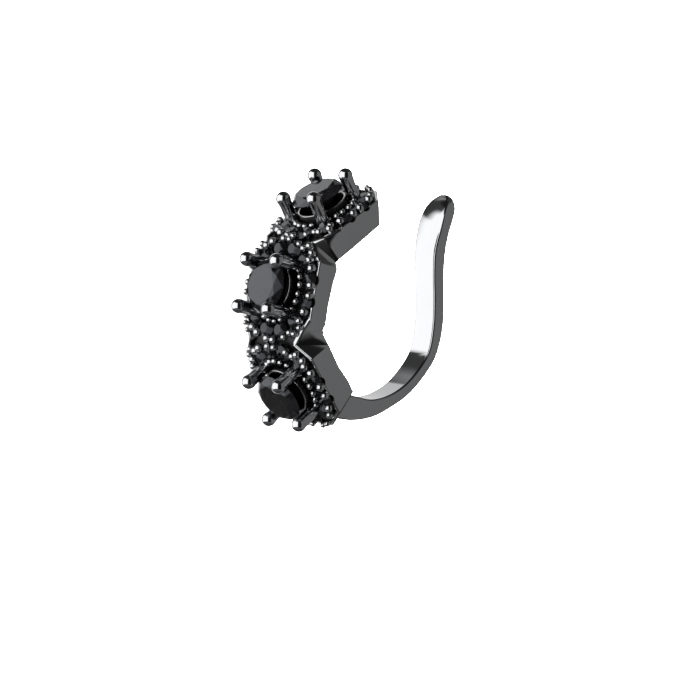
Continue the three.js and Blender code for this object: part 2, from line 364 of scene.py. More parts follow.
def drop_doubled_faces(piece):
    """Takes out pairs of faces that lie back to back on the same corners."""
    mesh = bmesh.new()
    mesh.from_mesh(piece.data)
    bmesh.ops.remove_doubles(mesh, verts=mesh.verts, dist=SLIVER)
    bmesh.ops.triangulate(mesh, faces=[face for face in mesh.faces if len(face.verts) > 4])
    on_corners = {}
    for face in mesh.faces:
        on_corners.setdefault(frozenset(face.verts), []).append(face)
    doubled = [face for faces in on_corners.values() if len(faces) > 1 for face in faces]
    bmesh.ops.delete(mesh, geom=doubled, context="FACES")
    mesh.to_mesh(piece.data)
    mesh.free()


def hand_over(piece, slot, *materials):
    """Gives a finished piece its materials and says what it rides on."""
    piece.data.materials.clear()
    for name in materials:
        piece.data.materials.append(material_called(name))
    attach(piece, BODY)


def paint_shade(piece, test):
    """Paints shade: gives the second, near-black material to the faces whose place and normal
    pass a test.
    """
    for face in piece.data.polygons:
        face.material_index = 1 if test(face.center, face.normal) else 0


# ---------- Materials ----------

MARK_DEPTH = 0.02 * MM
COOL_GLINT = (0.87, 0.93, 1.0, 1.0)  # tint of what the stones reflect


def feed(tree, node, inputs):
    """Sets inputs of a node, each to a fixed value or to what another node gives."""
    for name, value in inputs.items():
        if isinstance(value, bpy.types.NodeSocket):
            tree.links.new(value, node.inputs[name])
        else:
            node.inputs[name].default_value = value


def add_node(tree, kind, output, inputs, **values):
    """Adds a node with its values and inputs, and gives one of its outputs."""
    node = tree.nodes.new(kind)
    for name, value in values.items():
        setattr(node, name, value)
    feed(tree, node, inputs)
    return node.outputs[output]


def noise(tree, place, scale, detail):
    """Clouds of 0..1, with scale lumps to a metre."""
    inputs = {"Vector": place, "Scale": scale, "Detail": detail}
    return add_node(tree, "ShaderNodeTexNoise", "Fac", inputs)


def spread(tree, value, low, high):
    """Maps a value from 0..1 to low..high."""
    inputs = {"Value": value, "To Min": low, "To Max": high}
    return add_node(tree, "ShaderNodeMapRange", "Result", inputs)


def mix_colours(tree, share, first, second):
    inputs = {"Factor": share, "A": first, "B": second}
    return add_node(tree, "ShaderNodeMix", "Result", inputs, data_type="RGBA")


def marks(tree, height, strength):
    """Marks too fine to be modelled."""
    inputs = {"Height": height, "Strength": strength, "Distance": MARK_DEPTH}
    return add_node(tree, "ShaderNodeBump", "Normal", inputs)


def scaled(shade, factor):
    """A lighter or darker shade of a colour."""
    return tuple(min(1.0, part * factor) for part in shade[:3]) + (1.0,)


def gunmetal(tree, place):
    """Polished dark plate: slow changes of tone and gloss, and fine polishing marks."""
    finishes = settings().finishes
    tone = spread(tree, noise(tree, place, 400.0, 3.0), 0.75, 1.15)
    return {
        "Base Color": mix_colours(tree, tone, finishes.tarnish, finishes.metal),
        "Metallic": 1.0,
        "Roughness": spread(tree, noise(tree, place, 1500.0, 6.0), 0.05, 0.11),
        "Normal": marks(tree, noise(tree, place, 5000.0, 4.0), 0.02),
    }


def painted_shade_metal(tree, place):
    """Dull metal whose near-black colour is painted shade, laid in the hollows: the stones'
    bed, the seats, faces by the hook's root and the seat rims below their tops.
    """
    dark = settings().finishes.painted_shade
    crust = noise(tree, place, 2500.0, 5.0)
    return {
        "Base Color": mix_colours(tree, crust, scaled(dark, 0.4), dark),
        "Metallic": 1.0,
        "Roughness": spread(tree, crust, 0.3, 0.5),
        "Normal": marks(tree, crust, 0.15),
    }


def black_stone(tree, place, index):
    """Opaque black gem with a hard polish and faint clouds inside."""
    black = settings().finishes.stone
    clouds = noise(tree, place, 900.0, 4.0)
    return {
        "Base Color": mix_colours(tree, clouds, black, scaled(black, 2.5)),
        "Roughness": spread(tree, clouds, 0.01, 0.05),
        "IOR": index,
        "Specular Tint": COOL_GLINT,
    }


def paper(tree, place):
    """Matt pale paper."""
    pale = settings().finishes.floor
    grain = noise(tree, place, 60.0, 2.0)
    return {
        "Base Color": mix_colours(tree, grain, scaled(pale, 0.985), pale),
        "Roughness": 0.95,
        "Specular IOR Level": 0.1,
    }


# What makes each material, and a stone's index of refraction
MATERIALS = {
    "gunmetal_polish": (gunmetal,),
    # painted shade: dull, near-black metal for the shaded hollows
    "gunmetal_painted_shade": (painted_shade_metal,),
    "black_stone_polish": (black_stone, 1.58),
    "paved_stone_polish": (black_stone, 1.46),
    "pale_paper": (paper,),
}


def material_called(name):
    """The material of a name, made the first time that it is needed."""
    material = bpy.data.materials.get(name)
    if material is None:
        material = bpy.data.materials.new(name)
        material.use_nodes = True
        tree = material.node_tree
        place = add_node(tree, "ShaderNodeTexCoord", "Object", {})
        make, *index = MATERIALS[name]
        feed(tree, tree.nodes["Principled BSDF"], make(tree, place, *index))
    return material


# ---------- Cluster plates ----------

STONE_MARGIN = 0.05 * MM  # metal left between a small stone and a free end
BESIDE_WALL = 0.9  # cosine of a stone's angle, above which it lies beside a side wall
SAME_WAY = 0.99  # cosine between two directions that are taken as one
SLANT_RUN = 0.3  # least run of a slanted edge across the cuff, in millimetres
SLANT_FROM = 1.5  # least distance of its middle from the plane of symmetry
BACK_FROM = 2.7 * MM  # depth below which everything belongs to the back
BLEND = 0.02 * MM  # width of the wall round the stones' bed

# Where shade is painted onto the metal: beside the hook's root, and in the bed and seats by
# depth under the paved face, distance from the axis and the way that a face looks
ROOT_SIDE, FACES_ROOT = -1.0 * MM, 0.3
BED_FROM, BED_TO = 0.03 * MM, 1.0 * MM
BED_RADIUS, SEATS_RADIUS, LOOKS_OUT = 3.6 * MM, 2.75 * MM, 0.5

# Drills: sides, length, and how far the middle lies out of the wall or under the paved face
WALL_SIDES, WALL_LENGTH, WALL_OUT = 32, 1.4 * MM, 0.7 * MM
SEAT_SIDES, SEAT_LENGTH, SEAT_UNDER = 26, 0.7 * MM, 0.1 * MM
SEAT_SHARE = 0.8  # a seat's radius as a share of its stone's
WELL_SIDES, WELL_LENGTH, WELL_UNDER = 48, 1.0 * MM, 0.3 * MM


def plate_section(cluster, sizes, paved, back):
    """Four corners of a section. Paved is its half width and reach, back also its depth."""
    return [
        point_on(cluster, *paved, sizes.paved_depth),
        point_on(cluster, *back),
        point_on(cluster, -back[0], back[1], back[2]),
        point_on(cluster, -paved[0], paved[1], sizes.paved_depth),
    ]


def wall_sections(cluster, sizes):
    """Sections along the side walls."""
    sections = []
    for half, reach, back_reach, depth in cluster["walls"]:
        paved = (half * MM, reach * MM)
        back = (sizes.side_half, back_reach * MM, depth * MM)
        sections.append(plate_section(cluster, sizes, paved, back))
    return sections


def end_section(cluster, sizes, way):
    """A free end, which tapers towards the back. way is 1 or -1 along the cluster."""
    half = sizes.end_half
    paved = way * sizes.end_reach
    back = way * (sizes.end_reach - sizes.end_taper)
    return plate_section(cluster, sizes, (half, paved), (half, back, cluster["back"] * MM))


def neck_section(cluster, neighbour, sizes):
    """The section that two clusters share, narrow at the paved faces."""
    depth = sizes.paved_depth
    deep, other_deep = (one["back"] * MM + sizes.neck_ridge for one in (cluster, neighbour))
    paved = (sizes.neck_half, reach_to_neighbour(cluster, depth, neighbour, depth))
    back = reach_to_neighbour(cluster, deep, neighbour, other_deep)
    return plate_section(cluster, sizes, paved, (sizes.neck_back_half, back, deep))


def plate_sections(sizes):
    """Sections of the plates from the hook's root to the free end."""
    first, last = CLUSTERS[0], CLUSTERS[-1]
    sections = [end_section(first, sizes, -1)]
    for cluster, following in zip(CLUSTERS, CLUSTERS[1:]):
        sections += [*wall_sections(cluster, sizes), neck_section(cluster, following, sizes)]
    return [*sections, *wall_sections(last, sizes), end_section(last, sizes, 1)]


def turn_faces_outward():
    bpy.ops.mesh.select_all(action="SELECT")
    bpy.ops.mesh.normals_make_consistent(inside=False)


def extruded_bar(name, sections):
    """Extrudes a flat starting face through the sections, pulling its corners home."""
    count = len(sections[0])
    bpy.ops.mesh.primitive_circle_add(vertices=count, radius=1 * MM, fill_type="NGON")
    bar = start_piece(name)
    shape = bmesh.from_edit_mesh(bar.data)
    shape.faces.ensure_lookup_table()
    for corner, home in zip(shape.faces[0].loops, sections[0]):
        corner.vert.co = home
    bmesh.update_edit_mesh(bar.data)
    bpy.ops.mesh.select_all(action="SELECT")
    for before, after in zip(sections, sections[1:]):
        step = sum((b - a for a, b in zip(before, after)), Vector()) / count
        bpy.ops.mesh.extrude_region_move(TRANSFORM_OT_translate={"value": step})
        shape = bmesh.from_edit_mesh(bar.data)
        for point in [p for p in shape.verts if p.select]:
            here = min(range(count), key=lambda i: (before[i] + step - point.co).length)
            point.co = after[here]
        bmesh.update_edit_mesh(bar.data)
    turn_faces_outward()
    return bar


def fold(piece, corner, opposite):
    """Joins two opposite corners of a face with an edge, so that the face folds along it."""
    ends = (corner, opposite)
    choose(piece, "VERT", lambda p: min((p.co - end).length for end in ends) < SAME_SPOT)
    bpy.ops.mesh.vert_connect()


def stone_angles(count):
    """Angles of the small stones about their cluster's axis."""
    return [(i + 0.5) * 2 * math.pi / count for i in range(count)]


def short_of_end(cluster, along, margin):
    """The same place along a cluster, or one a margin short of the cluster's free end."""
    furthest = settings().clusters.end_reach - margin
    if cluster["name"] == "bottom":
        return max(along, -furthest)
    if cluster["name"] == "top":
        return min(along, furthest)
    return along


def stone_place(cluster, pave, angle, depth):
    """Where a small stone or its seat stands, clear of the cluster's free end."""
    along = short_of_end(cluster, pave.ring * math.sin(angle), pave.stone + STONE_MARGIN)
    return place_on(cluster, pave.ring * math.cos(angle), along, depth, angle)


def scallop_places(cluster, sizes, pave):
    """Places of the cuts in the side walls: each cut's axis is +Z of its place."""
    places = []
    depth = sizes.paved_depth - pave.scallop_lift
    for angle in stone_angles(pave.count):
        if abs(math.cos(angle)) > BESIDE_WALL:
            across, along = pave.ring * math.cos(angle), pave.ring * math.sin(angle)
            way = Vector((math.copysign(1, across), 0, 0))
            lay_down = way.to_track_quat("Z", "Y").to_matrix().to_4x4()
            places.append(place_on(cluster, across, along, depth) @ lay_down)
    return places


def at_paved_level(cluster, point, sizes):
    return abs(in_cluster(cluster, point)[2] - sizes.paved_depth) < SAME_LEVEL


def is_paved(face, sizes):
    """Whether a face lies in the paved face of any cluster."""
    middle = face.calc_center_median()
    return any(
        face.normal.dot(directions(cluster)[2]) > SAME_WAY
        and at_paved_level(cluster, middle, sizes)
        for cluster in CLUSTERS
    )


def slants(edge, sizes):
    """Whether an edge runs between the paved face and a slanted wall."""
    near, far = (end.co.z / MM - MID_HEIGHT for end in edge.verts)
    beside_slant = abs(near - far) > SLANT_RUN and abs(near + far) / 2 > SLANT_FROM
    return beside_slant and any(
        all(at_paved_level(cluster, end.co, sizes) for end in edge.verts)
        for cluster in CLUSTERS
    )


def backs_wall(edge, sizes):
    """Whether an edge runs between a side wall and the back."""
    near, far = (end.co.z - MID_HEIGHT * MM for end in edge.verts)
    on_wall = min(abs(near), abs(far)) > sizes.side_half - SAME_LEVEL
    return near * far > 0 and on_wall and any(
        all(in_cluster(cluster, end.co)[2] > BACK_FROM for end in edge.verts)
        for cluster in CLUSTERS
    )


def in_painted_shade(place, normal, sizes):
    """Whether a face of the plates gets painted shade: in the stones' bed, in a seat or facing
    the hook.
    """
    for cluster in CLUSTERS:
        _, along, depth = in_cluster(cluster, place)
        _, towards_end, outward = directions(cluster)
        at_root = cluster["name"] == "bottom" and along < ROOT_SIDE
        if at_root and -normal.dot(towards_end) > FACES_ROOT:
            return True
        sideways = place - centre_of(cluster) + outward * depth
        under = BED_FROM < depth - sizes.paved_depth < BED_TO
        if under and sideways.length <= BED_RADIUS and (
            normal.dot(outward) > LOOKS_OUT or normal.dot(sideways) < 0
            or sideways.length < SEATS_RADIUS
        ):
            return True
    return False


def bare_plates(sizes):
    """The plates with rounded edges, rim and sunk bed, before any drilling."""
    sections = plate_sections(sizes)
    plates = extruded_bar("cluster_plates", sections)
    wall, neck = sections[4:6]
    fold(plates, wall[1], neck[0])
    fold(plates, wall[2], neck[3])
    choose(plates, "EDGE", lambda edge: backs_wall(edge, sizes))
    bpy.ops.mesh.bevel(offset=sizes.back_edge, segments=4)
    choose(plates, "EDGE", lambda edge: slants(edge, sizes))
    bpy.ops.mesh.bevel(offset=sizes.slant_edge, segments=5)
    choose(plates, "FACE", lambda face: is_paved(face, sizes))
    bpy.ops.mesh.inset(thickness=sizes.rim, depth=0.0)
    widen = (sizes.side_half - sizes.wall_rim) / (sizes.side_half - sizes.rim)
    size_chosen((1, 1, widen), (0, 0, MID_HEIGHT * MM))
    bpy.ops.mesh.inset(thickness=BLEND, depth=-sizes.recess)
    leave_edit()
    finish_with(
        plates, "BEVEL", width=sizes.edge, segments=3, limit_method="ANGLE",
        angle_limit=math.radians(30),
    )
    return plates


class CUFF_OT_cluster_plates(bpy.types.Operator):
    """Three octagonal plates in one piece, with a rim, a sunk bed and wall cuts"""

    bl_idname = "cuff.cluster_plates"
    bl_label = "Cluster Plates"

    def execute(self, context):
        sizes = settings().clusters
        pave = settings().pave
        prongs = settings().prongs
        plates = bare_plates(sizes)
        cuts = [place for c in CLUSTERS for place in scallop_places(c, sizes, pave)]
        drill(plates, "wall_drill", cuts, WALL_SIDES, pave.scallop, WALL_LENGTH, WALL_OUT)
        seats = [
            stone_place(c, pave, angle, sizes.paved_depth + SEAT_UNDER)
            for c in CLUSTERS for angle in stone_angles(pave.count)
        ]
        drill(plates, "seat_drill", seats, SEAT_SIDES, pave.stone * SEAT_SHARE, SEAT_LENGTH)
        wells = [place_on(c, depth=sizes.paved_depth + WELL_UNDER) for c in CLUSTERS]
        well = prongs.rim_outer - prongs.rim_wall
        drill(plates, "well_drill", wells, WELL_SIDES, well, WELL_LENGTH)
        drop_doubled_faces(plates)
        smooth(plates, 30)
        hand_over(plates, METAL_SLOT, "gunmetal_polish", "gunmetal_painted_shade")
        # painted shade on the bed, the seats and the faces that look towards the hook's root
        paint_shade(plates, lambda place, normal: in_painted_shade(place, normal, sizes))
        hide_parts("cuff_frame")
        return {"FINISHED"}


# ---------- Prongs and seat rims ----------

RIM_EDGE = 0.035 * MM  # rounding of a seat rim's edges
RIM_UNSHADED = 0.07 * MM  # how far down from its top a seat rim keeps its polished colour; below that, shade is painted on


class CUFF_OT_ball_prongs(bpy.types.Operator):
    """Four ball-tipped prongs round each centre stone"""

    bl_idname = "cuff.ball_prongs"
    bl_label = "Ball Prongs"

    def execute(self, context):
        sizes = settings().prongs
        foot = settings().clusters.paved_depth + INTO_PLATE
        bpy.ops.mesh.primitive_uv_sphere_add(segments=32, ring_count=24, radius=sizes.ball)
        prong = start_piece("ball_prong")
        neck = -BALL_NECK * sizes.ball
        choose(prong, "VERT", lambda point: point.co.z < neck - SAME_SPOT)
        bpy.ops.mesh.delete(type="VERT")
        choose(prong, "EDGE", lambda edge: edge.is_boundary)
        lowest = min(bmesh.from_edit_mesh(prong.data).verts, key=lambda point: point.co.z)
        low, radius = lowest.co.z, math.hypot(*lowest.co.xy)
        for depth, next_radius in (*PRONG_STEM, (foot / MM, FOOT_RADIUS)):
            stem = next_radius / PLAIN_STEM * sizes.stem
            extrude_edge_loop(stem / radius, low + depth * MM)
            low, radius = -depth * MM, stem
        bpy.ops.mesh.edge_face_add()
        turn_faces_outward()
        leave_edit()
        smooth(prong, 60)
        corners = (-sizes.offset, sizes.offset)
        places = [
            place_on(cluster, across, along)
            for cluster in CLUSTERS for across in corners for along in corners
        ]
        prongs = copy_to(prong, places, "ball_prongs")
        hand_over(prongs, METAL_SLOT, "gunmetal_polish")
        return {"FINISHED"}


class CUFF_OT_seat_rims(bpy.types.Operator):
    """Round seat rim under each centre stone"""

    bl_idname = "cuff.seat_rims"
    bl_label = "Seat Rims"

    def execute(self, context):
        sizes = settings().prongs
        height = settings().clusters.paved_depth - sizes.rim_depth + INTO_PLATE
        bpy.ops.mesh.primitive_cylinder_add(
            vertices=64, radius=sizes.rim_outer, depth=height, end_fill_type="NOTHING",
            location=(0, 0, -height / 2),
        )
        rim = start_piece("seat_rim")
        leave_edit()
        finish_with(rim, "SOLIDIFY", thickness=sizes.rim_wall, offset=-1.0)
        finish_with(rim, "BEVEL", width=RIM_EDGE, segments=4, limit_method="ANGLE")
        smooth(rim, 40)
        places = [place_on(c, depth=sizes.rim_depth) for c in CLUSTERS]
        rims = copy_to(rim, places, "seat_rims")
        hand_over(rims, METAL_SLOT, "gunmetal_polish", "gunmetal_painted_shade")
        # painted shade: the rim below its polished top gets the near-black material
        painted_shade_from = sizes.rim_depth + RIM_UNSHADED
        paint_shade(rims, lambda p, _: all(in_cluster(c, p)[2] > painted_shade_from for c in CLUSTERS))
        return {"FINISHED"}


# ---------- Stones ----------


def grind(stone, a, b, c):
    """Grinds a flat facet through three points, on the side away from the stone's axis."""
    normal = (b - a).cross(c - a).normalized()
    if normal.dot(a) < 0:
        normal.negate()
    bpy.ops.mesh.select_all(action="SELECT")
    bpy.ops.mesh.bisect(
        plane_co=a, plane_no=normal, use_fill=True, clear_outer=True, threshold=1e-8
    )


def at(radius, turn, height):
    """A point of a stone, in millimetres, at a share of a full turn about its axis."""
    angle = turn * 2 * math.pi
    return Vector((radius * math.cos(angle), radius * math.sin(angle), height)) * MM


def rough_stone(name, radius, heights, sides):
    """A round blank about +Z, from a stone's table to just under its point, in millimetres."""
    top, bottom = heights[0], heights[-1] - 0.01
    bpy.ops.mesh.primitive_cylinder_add(
        vertices=sides, radius=radius * MM, depth=(top - bottom) * MM,
        location=(0, 0, (top + bottom) / 2 * MM),
    )
    return start_piece(name)


def grind_crown(stone, turns, radius, table, star, heights):
    """Grinds a main facet above the girdle and a star facet. Gives the star facet's point."""
    main, half, after = turns
    top, girdle = heights[:2]
    slope = (top - girdle) / (radius - table)
    star_point = at(star, half, top - (star * FACET_LEAN - table) * slope)
    grind(stone, at(table, main, top), at(radius, main, girdle), star_point)
    grind(stone, at(table, main, top), at(table, after, top), star_point)
    return star_point


class CUFF_OT_centre_stones(bpy.types.Operator):
    """Three round brilliants, each ground facet by facet from a round blank"""

    bl_idname = "cuff.centre_stones"
    bl_label = "Centre Stones"

    def execute(self, context):
        radius, table, star, keel = CENTRE_RADII
        girdle, low_girdle, point = CENTRE_HEIGHTS[1:]
        keel_low = point + keel * FACET_LEAN * (low_girdle - point) / radius
        stone = rough_stone("centre_stone", radius, CENTRE_HEIGHTS, 96)
        for turns in FACETS:
            main, half, after = turns
            star_point = grind_crown(stone, turns, radius, table, star, CENTRE_HEIGHTS)
            keel_point = at(keel, half, keel_low)
            for side in (main, after):
                grind(stone, star_point, at(radius, side, girdle), at(radius, half, girdle))
                below = at(radius, side, low_girdle), at(radius, half, low_girdle)
                grind(stone, keel_point, *below)
            grind(stone, at(0, 0, point), at(radius, main, low_girdle), keel_point)
        leave_edit()
        for node, cluster in zip(STONE_NODES, CLUSTERS):
            select_only(stone)
            bpy.ops.object.duplicate(linked=False)
            stands = place_on(cluster, depth=cluster["sunk"] * MM)
            gem = copy_to(bpy.context.object, [stands], f"{node}_cut")
            hand_over(gem, STONE_SLOT, "black_stone_polish")
            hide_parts(node)
        bpy.data.objects.remove(stone)
        return {"FINISHED"}


class CUFF_OT_paved_stones(bpy.types.Operator):
    """Ring of small round stones round each centre stone"""

    bl_idname = "cuff.paved_stones"
    bl_label = "Paved Stones"

    def execute(self, context):
        sizes = settings().pave
        radius = sizes.stone / MM
        table, star = (share * radius for share in PAVED_SHARES)
        low_girdle, point = PAVED_HEIGHTS[2:]
        stone = rough_stone("paved_stone", radius, PAVED_HEIGHTS, 16)
        for turns in FACETS:
            main, _, after = turns
            grind_crown(stone, turns, radius, table, star, PAVED_HEIGHTS)
            below = at(radius, main, low_girdle), at(radius, after, low_girdle)
            grind(stone, at(0, 0, point), *below)
        leave_edit()
        places = [
            stone_place(cluster, sizes, angle, sizes.level)
            for cluster in CLUSTERS for angle in stone_angles(sizes.count)
        ]
        stones = copy_to(stone, places, "paved_stones")
        hand_over(stones, STONE_SLOT, "paved_stone_polish")
        return {"FINISHED"}


# ---------- Bead grains ----------

# Half the angle between the two grains of a pair
OUTER_SPREAD, INNER_SPREAD, CORNER_SPREAD = (math.radians(a) for a in (5.4, 7.5, 5.0))
# Grains are raised by hand, so no two have quite the same size and place. A sine that goes on
# by these angles from grain to grain says how each one differs.
SIZE_STEP, PLACE_STEP = 12.9898, 78.233
WALL_SHARE = 0.95  # how far inside a side wall a grain stays, as a share of its radius
END_SHARE = 0.6  # and how far short of a free end
GRAIN_FOOT = 1.6  # how much a grain's lower half is drawn out into the metal


def neck_corners(cluster):
    """Angles about a cluster's axis of its paved face's corners beside a neck."""
    up, down = (math.pi / 4, 3 * math.pi / 4), (-math.pi / 4, -3 * math.pi / 4)
    return {"bottom": up, "middle": up + down, "top": down}[cluster["name"]]


def grain_spots(cluster, sizes):
    """Group, ring and angle of each grain of a cluster."""
    spots = []
    step = 2 * math.pi / sizes.count
    for gap in range(sizes.count):
        middle = gap * step
        for side in (-1, 1):
            spots.append(("outer_grains", sizes.outer_ring, middle + side * OUTER_SPREAD))
            spots.append(("inner_grains", sizes.inner_ring, middle + side * INNER_SPREAD))
    for corner in neck_corners(cluster):
        for side in (-1, 1):
            spots.append(("inner_grains", sizes.corner_ring, corner + side * CORNER_SPREAD))
    return spots


def grain_place(cluster, sizes, ring, angle, number):
    """Where a grain stands and how large it is, inside the side walls and the free end."""
    uneven, sideways = math.sin(SIZE_STEP * number), math.sin(PLACE_STEP * number)
    size = 1 + sizes.unevenness * uneven
    widest = settings().clusters.side_half - WALL_SHARE * size * sizes.outer_grain
    across = ring * math.cos(angle) + sizes.grain_shift * sideways
    across = max(-widest, min(widest, across))
    along = ring * math.sin(angle) + sizes.grain_shift * uneven
    along = short_of_end(cluster, along, END_SHARE * sizes.outer_grain)
    return place_on(cluster, across, along, sizes.grain_depth) @ Matrix.Scale(size, 4)


class CUFF_OT_bead_grains(bpy.types.Operator):
    """Bead grains raised between the small stones to hold them"""

    bl_idname = "cuff.bead_grains"
    bl_label = "Bead Grains"

    def execute(self, context):
        sizes = settings().pave
        groups = {"outer_grains": [], "inner_grains": []}
        for cluster in CLUSTERS:
            for number, (group, ring, angle) in enumerate(grain_spots(cluster, sizes)):
                groups[group].append(grain_place(cluster, sizes, ring, angle, number))
        radii = {"outer_grains": sizes.outer_grain, "inner_grains": sizes.grain}
        for group, places in groups.items():
            bpy.ops.mesh.primitive_ico_sphere_add(subdivisions=2, radius=radii[group])
            grain = start_piece("bead_grain")
            choose(grain, "VERT", lambda point: point.co.z < 0)
            size_chosen((1, 1, GRAIN_FOOT), (0, 0, 0))
            leave_edit()
            select_only(grain)
            bpy.ops.object.shade_smooth()
            grains = copy_to(grain, places, group)
            hand_over(grains, METAL_SLOT, "gunmetal_polish")
        return {"FINISHED"}


# ---------- Hook band ----------

STEPS_PER_ROW = 4  # sections that the band gets for each row of its table
CORNER_STEPS = 4  # sides that stand in for each rounded corner of a section
FULLEST_CORNER = 0.45  # greatest rounding, as a share of the thickness or the width
NO_LENGTH = 1e-9  # shorter than any step of the table


def pace(before, here, after):
    """Direction and speed of a smooth curve at one of its rows."""
    first, second = (here - before).length, (after - here).length
    if first < NO_LENGTH:
        return (after - here) / second
    if second < NO_LENGTH:
        return (here - before) / first
    return (
        (here - before) / first * second + (after - here) / second * first
    ) / (first + second)


def blend_point(before, here, there, after, t):
    """A point at a share t of the way from here to there, on a smooth curve."""
    span = (there - here).length
    leave, arrive = pace(before, here, there) * span, pace(here, there, after) * span
    t2, t3 = t * t, t * t * t
    return (
        here * (2 * t3 - 3 * t2 + 1) + leave * (t3 - 2 * t2 + t)
        + there * (3 * t2 - 2 * t3) + arrive * (t3 - t2)
    )


def middle_line():
    """Rows of the band, with more of them in between on a smooth curve through the table."""
    rows = [Vector(row) for row in BAND]
    padded = [rows[0], *rows, rows[-1]]
    shares = [step / STEPS_PER_ROW for step in range(STEPS_PER_ROW)]
    line = [
        blend_point(*padded[i:i + 4], share) for i in range(len(rows) - 1) for share in shares
    ]
    return [*line, rows[-1]]


def rounded_section(row, outward, radius):
    """Points round an oblong section of the band whose four corners are rounded."""
    centre = Vector((row.x, row.y, MID_HEIGHT)) * MM
    thickness, width = row.z * MM, row.w * MM
    radius = min(radius, FULLEST_CORNER * thickness, FULLEST_CORNER * width)
    points = []
    for corner, (side, end) in enumerate(((1, 1), (-1, 1), (-1, -1), (1, -1))):
        for step in range(CORNER_STEPS + 1):
            angle = (corner + step / CORNER_STEPS) * math.pi / 2
            over = side * (thickness / 2 - radius) + radius * math.cos(angle)
            along = end * (width / 2 - radius) + radius * math.sin(angle)
            points.append(centre + outward * over + Vector((0, 0, along)))
    return points


class CUFF_OT_hook_band(bpy.types.Operator):
    """Flat springy band that hooks behind the ear"""

    bl_idname = "cuff.hook_band"
    bl_label = "Hook Band"

    def execute(self, context):
        line = middle_line()
        sections = []
        for before, row, after in zip([line[0], *line], line, [*line[1:], line[-1]]):
            forward = (after.xy - before.xy).normalized()
            outward = Vector((-forward.y, forward.x, 0))
            sections.append(rounded_section(row, outward, settings().band_edge))
        band = extruded_bar("hook_band", sections)
        leave_edit()
        smooth(band, 60)
        finish_with(band, "WEIGHTED_NORMAL", keep_sharp=True)
        hand_over(band, METAL_SLOT, "gunmetal_polish")
        return {"FINISHED"}


# ---------- Stage ----------

CAMERA_SPOT = Vector((-62.11, 6.932, 73.06)) * MM
CAMERA_RIGHT = Vector((0.7493, 0.0, 0.6623))
CAMERA_BACK = Vector((-0.6583, 0.1080, 0.7450))
CAMERA_LENS, CAMERA_SENSOR = 82.286, 36.0
CAMERA_NEAR, CAMERA_FAR = 0.005, 10.0  # what it sees, in metres from it

FLOOR_SIZE = 3.0
LAMP_WAY, LAMP_DISTANCE = (-0.2, 0.1, 0.95), 0.35
LAMP_SIZE, LAMP_POWER = 0.8, 30.0

# Round the cuff at the camera's level, from behind it by the right, the front and the left:
# turn in degrees from the camera, positive to the left, and how bright the studio is there
STUDIO_ROUND = (
    (-180, 0.86), (-166, 0.86), (-164, 0.20), (-46, 0.23), (-43, 0.01), (98, 0.01),
    (102, 0.08), (139, 0.06), (143, 0.90), (180, 0.86),
)
# By rise, which runs from -1 on the hook's root side of the cuff to 1 on its free end's side:
# share of the round wall that shows, and brightness of what lies beyond it
WALL_SHOWS = ((-0.76, 0.0), (-0.66, 0.6), (-0.55, 1.0), (0.69, 1.0), (0.72, 0.0))
BEYOND_WALL = (
    (-1.0, 0.07), (-0.84, 0.08), (-0.76, 0.20), (-0.66, 0.23), (-0.55, 0.23), (0.69, 0.10),
    (0.72, 0.02),
)
# Panels before the walls, the last one in front: how much of it shows by turn and by rise, and
# its brightness
PANELS = (
    (  # dark screen high behind on the right
        ((-152, 0), (-146, 1), (-98, 1), (-93, 0)),
        ((0.42, 0), (0.50, 1)), 0.06,
    ),
    (  # white window in front on the left
        ((9, 0), (14, 0.8), (22, 0.97), (30, 1), (96, 1), (101, 0)),
        ((-0.52, 0), (-0.40, 1), (0.70, 1), (0.77, 0)), 1.95,
    ),
    (  # its soft left side
        ((88, 0), (92, 1), (104, 1), (109, 0.8), (115, 0.6), (120, 0.5), (125, 0)),
        ((-0.50, 0), (-0.44, 1), (0.44, 1), (0.48, 0)), 1.95,
    ),
    (  # the corner between the two
        ((88, 0), (91, 1), (100, 1), (112, 0)),
        ((-0.50, 0), (-0.44, 1), (0.57, 1), (0.65, 0)), 1.95,
    ),
    (  # dark screen high behind on the left
        ((118, 0), (124, 1), (155, 1), (158, 0)),
        ((0.50, 0), (0.55, 1), (0.80, 1), (0.84, 0)), 0.07,
    ),
    (  # grey card on that screen
        ((130, 0), (140, 1), (155, 1), (158, 0)),
        ((0.62, 0), (0.70, 1), (0.80, 1), (0.84, 0)), 0.35,
    ),
)
BRIGHTEST = 2.0
HALF_TURN, FULL_RISE = 180, 1  # where turn and rise end, either way


def grey(level):
    return (level, level, level, 1.0)


def ramp(tree, value, stops, reach, brightest=1.0):
    """A grey ramp through (place, level) stops, whose places run from -reach to reach."""
    node = tree.nodes.new("ShaderNodeValToRGB")
    elements = node.color_ramp.elements
    while len(elements) < len(stops):
        elements.new(0.5)
    for element, (place, level) in zip(elements, stops):
        element.position = place / (2 * reach) + 0.5
        element.color = grey(level / brightest)
    feed(tree, node, {"Fac": value})
    return node.outputs["Color"]


